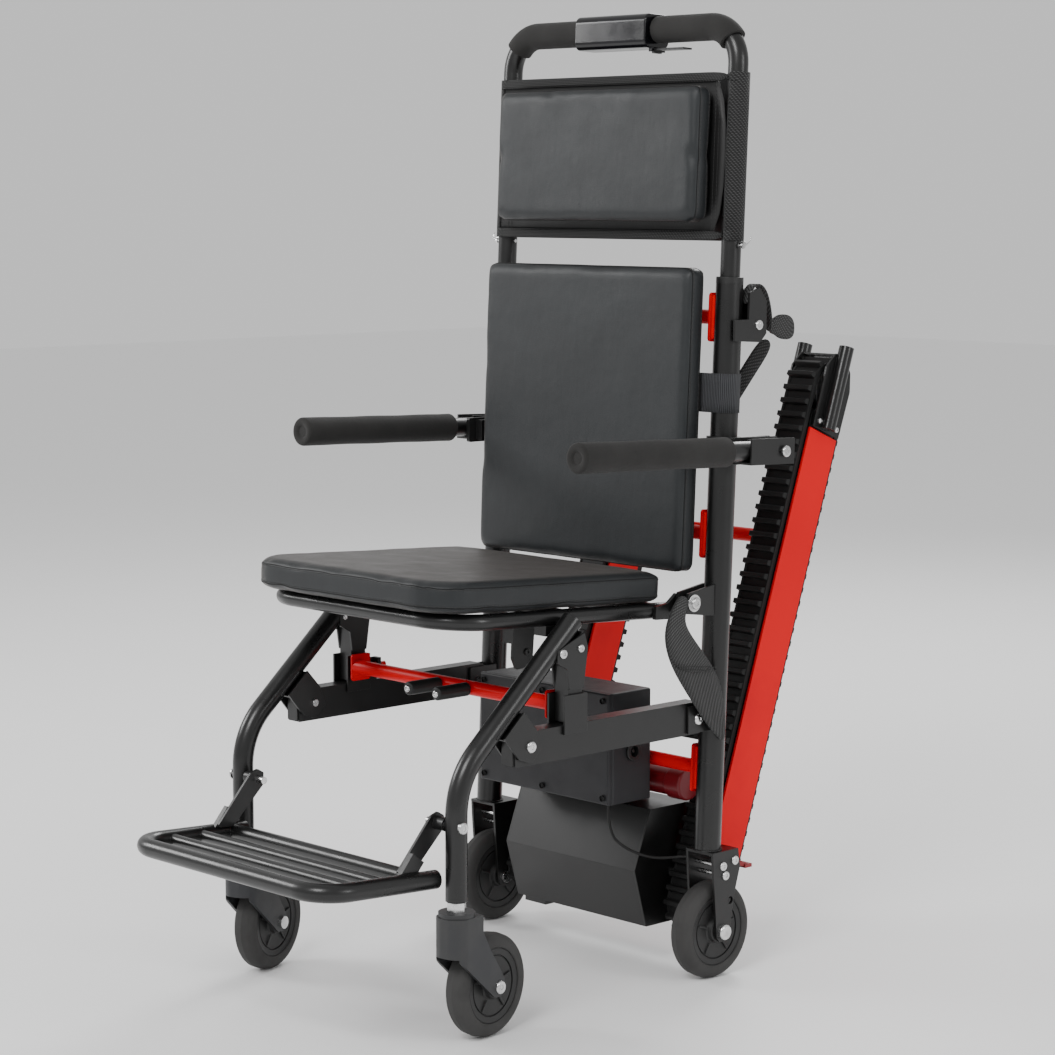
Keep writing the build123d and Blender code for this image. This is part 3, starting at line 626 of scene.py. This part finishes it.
# ---- wheels -------------------------------------------------------------------------------------
def add_wheel(kind, side, sign):
    tyre_node, hub_node = f"{kind}_tyre_{side}", f"{kind}_hub_{side}"
    if kind == "caster":
        body, angle = f"caster_wheel_{side}", math.radians(CASTER_TURN[side])
        place = Matrix.Translation((sign * SWIVEL_X, SWIVEL_Y, WHEEL_RADIUS)) @ Matrix.Rotation(angle, 4, "Z")
        place = place @ Matrix.Translation((0, TRAIL, 0))
    else:
        body = f"rear_wheel_{side}"
        place = Matrix.Translation((sign * 0.224, AXLE_Y, WHEEL_RADIUS))
    half, rim, bore, boss = 0.016, 0.050, 0.00605, 0.019
    upper = [(rim, half - 0.0015), (rim + 0.0015, half - 0.0002), (WHEEL_RADIUS - 0.0125, half)]
    upper += arc(WHEEL_RADIUS - 0.012, half - 0.012, 0.012, 88, 25, 8)
    upper += [(WHEEL_RADIUS - 0.0002, 0.0006), (WHEEL_RADIUS, 0.0)]
    profile = [(rim, 0)] + upper + [(r, -h) for r, h in reversed(upper[:-1])] + [(rim, 0)]
    piece(f"{tyre_node}_shape", lathe(profile, "X", 96), "tyre", body, (tyre_node,), place, sharp=30)
    face = [(bore, boss), (0.0145, boss), (0.016, boss - 0.001), (0.0175, 0.0125), (0.0195, 0.0112)]
    face += [(0.030, 0.0118), (0.0388, 0.0125), (0.0393, 0.0108), (0.0407, 0.0108), (0.0412, 0.0130)]
    face += [(0.0455, 0.0135), (0.0482, 0.0142), (rim - 0.0004, 0.0138)]
    profile = face + [(r, -h) for r, h in reversed(face)] + [face[0]]
    bm = lathe(profile, "X", 72)
    for flank in (0.0135, -0.0135):
        for spoke in range(5):
            rib = bmesh.new()
            block(rib, (flank - 0.001, -0.0016, 0.0205), (flank + 0.001, 0.0016, 0.0375), 0.0006)
            merge(bm, rib, Matrix.Rotation(math.tau * spoke / 5, 4, "X"))
    piece(f"{hub_node}_shape", bm, "hub", body, (hub_node,), place, sharp=30)


# ---- track belts ---------------------------------------------------------------------------------
def add_belt(side, sign):
    x0, x1 = sorted(sign * x for x in BELT_SIDES)
    bm = bmesh.new()
    lip = BELT_OUTSIDE + 0.0016
    section = [(x0, BELT_INSIDE), (x1, BELT_INSIDE), (x1, lip), (x1 - 0.003, lip), (x1 - 0.004, BELT_OUTSIDE),
               (x0 + 0.004, BELT_OUTSIDE), (x0 + 0.003, lip), (x0, lip)]
    verts = [bm.verts.new((x, -r, 0)) for x, r in section]
    edges = [bm.edges.new((verts[i - 1], verts[i])) for i in range(len(verts))]
    runs = [((0, 0, 0), 0.0, (0, 0, TRACK_LENGTH / 24), 24), ((0, 0, TRACK_LENGTH), math.pi, (0, 0, 0), 20),
            ((0, 0, 0), 0.0, (0, 0, -TRACK_LENGTH / 24), 24), ((0, 0, 0), math.pi, (0, 0, 0), 20)]
    geom = verts + edges
    for centre, angle, rise, steps in runs:
        made = bmesh.ops.spin(bm, geom=geom, cent=centre, axis=(-1, 0, 0), angle=angle, dvec=rise, steps=steps)
        geom = made["geom_last"]
    bmesh.ops.remove_doubles(bm, verts=bm.verts, dist=1e-5)
    bmesh.ops.recalc_face_normals(bm, faces=bm.faces)
    spots = []
    for i in range(BELT_PITCH_COUNT):
        spot = Matrix.Translation((0, 0, (i + 0.5) * TRACK_LENGTH / BELT_PITCH_COUNT))
        spots += [spot, spot @ Matrix.Rotation(math.pi, 4, "X")]
    for k in range(6):
        tip = math.radians(15 + 30 * k - 90)
        spots.append(Matrix.Translation((0, 0, TRACK_LENGTH)) @ Matrix.Rotation(-math.pi / 2 + tip, 4, "X"))
        spots.append(Matrix.Rotation(math.pi / 2 + tip, 4, "X"))
    low, high = (x0 + 0.0005, -BELT_OUTSIDE - TOOTH, -0.0052), (x1 - 0.0005, -BELT_OUTSIDE + 0.001, 0.0052)
    for spot in spots:
        bar = bmesh.new()
        crown = [v for v in block(bar, low, high) if v.co.y < -BELT_OUTSIDE - TOOTH / 2]
        bmesh.ops.scale(bar, vec=(0.985, 1, 0.62), verts=crown)
        rim = list({e for v in crown for e in v.link_edges if e.other_vert(v) in crown})
        bmesh.ops.bevel(bar, geom=rim, offset=0.0009, segments=1, profile=0.5, affect="EDGES", material=-1)
        merge(bm, bar, spot)
    piece(f"track_belt_{side}", bm, "belt", "track", ("track_belts",), TRACK, sharp=30)


# ---- straps ---------------------------------------------------------------------------------------
def add_elastic(side, sign):
    """The elastic band from the cushion round the upright."""
    low, high = local_box("backrest_straps", BACK)
    middle, half = (low.z + high.z) / 2, (high.z - low.z) / 2 - 0.001
    grip = TUBE + 0.0012
    line = [(0.176, -0.0236), (0.200, -0.0236), (0.214, -0.0226)] + arc(HALF, 0, grip, -70, 230, 15)
    stations = [(Vector((sign * x, y, middle)), Vector((0, 0, half))) for x, y in line]
    strap(f"elastic_{side}", stations, 0.0014, "elastic", "frame", ("backrest_straps",), BACK)


def add_lap_strap():
    """Webbing hung from the seat hinge bolt, folded double at the top, run back behind the upright."""
    front = [(-90, 559), (-113, 529), (-123, 507), (-121, 482), (-105, 450), (-69, 407), (-36, 369), (-6, 340)]
    back = [(-70, 546), (-86, 522), (-76, 502), (-50, 474), (-17, 438), (-2, 398), (2, 363), (3, 343)]
    bow = [0.2475, 0.2490, 0.2505, 0.2515, 0.2515, 0.2500, 0.2485, 0.2478]
    stations = []
    for (fy, fz), (by, bz), x in zip(front, back, bow):
        centre = mm(0, (fy + by) / 2, (fz + bz) / 2)
        centre.x = x
        stations.append((centre, Vector((0.0, (by - fy) / 2000, (bz - fz) / 2000))))
    strap("lap_webbing", stations, 0.0014, "webbing", "frame", ("lap_strap",))
    folded = [(centre + Vector((0.0015, 0, 0)), half * 0.97) for centre, half in stations[:5]]
    strap("lap_webbing_fold", folded, 0.0012, "webbing", "frame")
    bm = bmesh.new()
    centre, half = stations[4]
    for lift in (0.004, 0.009):
        row = [centre + half * t + Vector((0.0026, 0, lift)) for t in (-0.9, -0.45, 0, 0.45, 0.9)]
        stitches(bm, row, 0.0045, 0.003)
    piece("lap_stitching", bm, "thread", "frame")


def add_chest_strap():
    """Webbing loop over its holder, with a round-ended tongue and a narrow tail."""
    across = Vector((0.0075, 0, 0))
    loop = [(44, 945), (50, 968), (64, 975), (80, 966), (90, 940), (94, 905)]
    stations = [(mm(241, y, z), across) for y, z in loop]
    strap("chest_loop", stations, 0.0018, "webbing", "frame", ("chest_strap",))
    tongue = [(94, 912, 9), (104, 914, 11), (112, 913, 16), (122, 912, 17.5), (132, 911, 17.5), (141, 910, 14),
              (146, 909, 7)]
    stations = [(mm(241, y, z), Vector((0, 0, h / 1000))) for y, z, h in tongue]
    strap("chest_tongue", stations, 0.003, "webbing", "frame", ("chest_strap",))
    tail = [(241, 93, 896), (228, 79, 865), (212, 60, 825), (192, 36, 775)]
    stations = [(mm(*p), Vector((0.63, 0.577, -0.512)) * 0.0105) for p in tail]
    strap("chest_tail", stations, 0.0014, "webbing", "frame", ("chest_strap",))


def add_sleeve():
    """The headrest sleeve: one band of cloth round both tubes, hemmed top and bottom."""
    low, high = local_box("headrest_panel", BACK)
    wrap = 0.0158
    steps = (0.75, 0.5, 0.25, 0, -0.25, -0.5, -0.75)
    ring = arc(HALF, 0, wrap, -90, 90, 12) + [(HALF * t, wrap - 0.0012) for t in steps]
    ring += arc(-HALF, 0, wrap, 90, 270, 12) + [(-HALF * t, -wrap + 0.0012) for t in steps]
    middle, half = (low.z + high.z) / 2, (high.z - low.z) / 2
    stations = [(Vector((x, y, middle)), Vector((0, 0, half))) for x, y in ring + ring[:1]]
    obj = strap("headrest_sleeve", stations, 0.0014, "sleeve", "handle", ("headrest_panel",), BACK)
    for edge, depth in (("top", high.z - 0.006), ("bottom", low.z + 0.006)):
        hem = [(Vector((x, y * 1.09, depth)), Vector((0, 0, 0.0065))) for x, y in ring + ring[:1]]
        strap(f"sleeve_hem_{edge}", hem, 0.0012, "mesh_cloth", "handle", (), BACK)
    for sign, name in ((1, "left"), (-1, "right")):
        band = [(Vector((sign * x, y, middle)), Vector((0, 0, half - 0.0005)))
                for x, y in arc(HALF, 0, wrap + 0.0011, -96, 96, 12)]
        strap(f"sleeve_mesh_{name}", band, 0.0008, "mesh_cloth", "handle", (), BACK)
    bm = bmesh.new()
    for sign in (1, -1):
        for x in (HALF - 0.017, HALF - 0.024):
            row = [Vector((sign * x, -wrap - 0.0002, z)) for z in (low.z + 0.008, high.z - 0.008)]
            stitches(bm, row, spacing=0.0055, length=0.0036)
        for y in (wrap + 0.0006, -wrap - 0.0010):
            for z in (high.z - 0.0105, low.z + 0.0105):
                stitches(bm, [Vector((-HALF, y, z)), Vector((HALF, y, z))], spacing=0.0055, length=0.0036)
    piece("sleeve_stitching", bm, "thread", "handle", (), BACK)


# ---- small hard details ------------------------------------------------------------------------------
def add_case_screws():
    low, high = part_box("battery_case")
    bm = bmesh.new()
    for x in (low.x + 0.010, 0.0, high.x - 0.010):
        for z in (low.z + 0.010, high.z - 0.010):
            head = lathe([(0.0, 0.0009), (0.0022, 0.0006), (0.0042, -0.0002), (0.0042, -0.003)], "Y", 20)
            merge(bm, head, Matrix.Translation((x, low.y - 0.0001, z)))
    piece("case_screws", bm, "black_plastic", "frame")


def button_head(bm, spot, axis, radius, height):
    """A domed screw head with a hexagon socket; spot is its seat and axis points outwards."""
    dome = arc(0, 0, 1, 90, 0, 6)
    profile = [(0.0, height * 0.45), (radius * 0.42, height * 0.45), (radius * 0.46, height)]
    profile += [(radius * (0.5 + 0.5 * c), height * n) for c, n in dome[1:-1]]
    profile += [(radius, 0.0), (radius, -0.001)]
    turn = Vector(axis).to_track_quat("Z", "Y").to_matrix().to_4x4()
    merge(bm, lathe(profile, "Z", 24), Matrix.Translation(spot) @ turn)


def add_screws():
    for side, sign in (("left", 1), ("right", -1)):
        bm = bmesh.new()
        for y, z in ((-0.018, 0.713), (0.021, 0.710)):
            button_head(bm, Vector((sign * 0.2, y, z)), (sign, 0, 0), 0.0042, 0.003)
        piece(f"cap_screws_{side}", bm, "zinc", "track", (), TRACK)
    bm = bmesh.new()
    for x in (-14, 44):
        button_head(bm, mm(x, -354, 424), (0, -1, 0), 0.0052, 0.003)
    piece("grip_screws", bm, "zinc", "release")
    bm = bmesh.new()
    profile = [(0.0, 0.0022), (0.007, 0.0018), (0.0105, 0.0006), (0.0118, 0.0), (0.0103, 0.0), (0.0102, -0.010)]
    for sign in (1, -1):
        merge(bm, lathe(profile, "Y", 32), FOOT @ Matrix.Translation((sign * 0.2, 0.189, 0)))
    piece("footrest_plugs", bm, "black_plastic", "footrest")
    eye = [(x, 0, z) for x, z in arc(0.2475, 1.028, 0.0045, 0, 360, 18)]
    hook = [(0.252, 0, 1.028), (0.257, 0.001, 1.0315), (0.259, 0.002, 1.036), (0.257, 0.003, 1.040)]
    for side, sign in (("left", 1), ("right", -1)):
        line = [BACK @ Vector((sign * x, y, z)) for x, y, z in eye + hook]
        tube(f"clip_wire_{side}", line, 0.0009, "zinc", "handle")


def ring_points(centre, radius):
    return [centre + Vector((x, y, 0)) for x, y in arc(0, 0, radius, 0, 360, 36)]


def add_welds():
    bm = bmesh.new()
    for sign in (1, -1):
        foot = Vector((sign * HALF, AXLE_Y - 0.0071, 0.1848))
        weld(bm, ring_points(foot, 0.0196))
    piece("fork_welds", bm, "black_steel", "frame", sharp=60)
    bm = bmesh.new()
    for sign in (1, -1):
        for x in (0.2081, 0.2369):
            weld(bm, [mm(sign * x * 1000, -389, 426), mm(sign * x * 1000, -421, 397)], 0.0019)
    piece("leg_welds", bm, "black_steel", "legs", sharp=60)


def add_stage():
    bm = bmesh.new()
    bmesh.ops.create_grid(bm, x_segments=2, y_segments=2, size=14)
    mesh = bpy.data.meshes.new("floor")
    bm.to_mesh(mesh)
    bm.free()
    floor = bpy.data.objects.new("floor", mesh)
    bpy.context.collection.objects.link(floor)
    f = Finish("floor_paint", (0.93, 0.93, 0.93), 0.6)
    f.vary_roughness(f.noise(3, 3), 0.03)
    mesh.materials.append(f.material)
    world = bpy.data.worlds.new("studio")
    world.use_nodes = True
    sky = world.node_tree.nodes["Background"]
    sky.inputs["Color"].default_value = (1, 1, 1, 1)
    sky.inputs["Strength"].default_value = 0.75
    bpy.context.scene.world = world
    lights = (("key", (1.4, -3.4, 3.6), 1.6, 110), ("side", (4.0, 0.8, 2.0), 1.2, 32),
              ("left", (-3.2, -2.0, 2.2), 1.2, 60), ("rim", (-1.5, 3.2, 3.0), 1.4, 70))
    for name, spot, size, power in lights:
        lamp = bpy.data.objects.new(name, bpy.data.lights.new(name, "AREA"))
        lamp.data.size = size
        lamp.data.energy = power
        lamp.location = spot
        lamp.rotation_euler = (Vector((0, 0, 0.6)) - Vector(spot)).to_track_quat("-Z", "Y").to_euler()
        bpy.context.collection.objects.link(lamp)


def main():
    add_camera()
    add_cable()
    add_stage()
    dress_cad_nodes()
    start_pad("seat_pad", "seat_cushion", SEAT, "seat", 0.062, 0.014, (0.0, 0.0, 0.0035))
    start_pad("back_pad", "backrest_cushion", BACK, "frame", 0.012, 0.012, (0.0, 0.003, 0.0))
    start_pad("head_pad", "headrest_cushion", BACK, "handle", 0.014, 0.014, (0.0, 0.0035, 0.0))
    blow_up_pads(0.007)
    finish_pad(PADS[0], 0.062, 0.014, False)
    finish_pad(PADS[1], 0.012, 0.012, True)
    finish_pad(PADS[2], 0.014, 0.014, True)
    for side, sign in (("left", 1), ("right", -1)):
        add_armrest_grip(side)
        add_wheel("caster", side, sign)
        add_wheel("rear", side, sign)
        add_belt(side, sign)
        add_elastic(side, sign)
    add_lap_strap()
    add_chest_strap()
    add_sleeve()
    add_case_screws()
    add_screws()
    add_welds()


main()
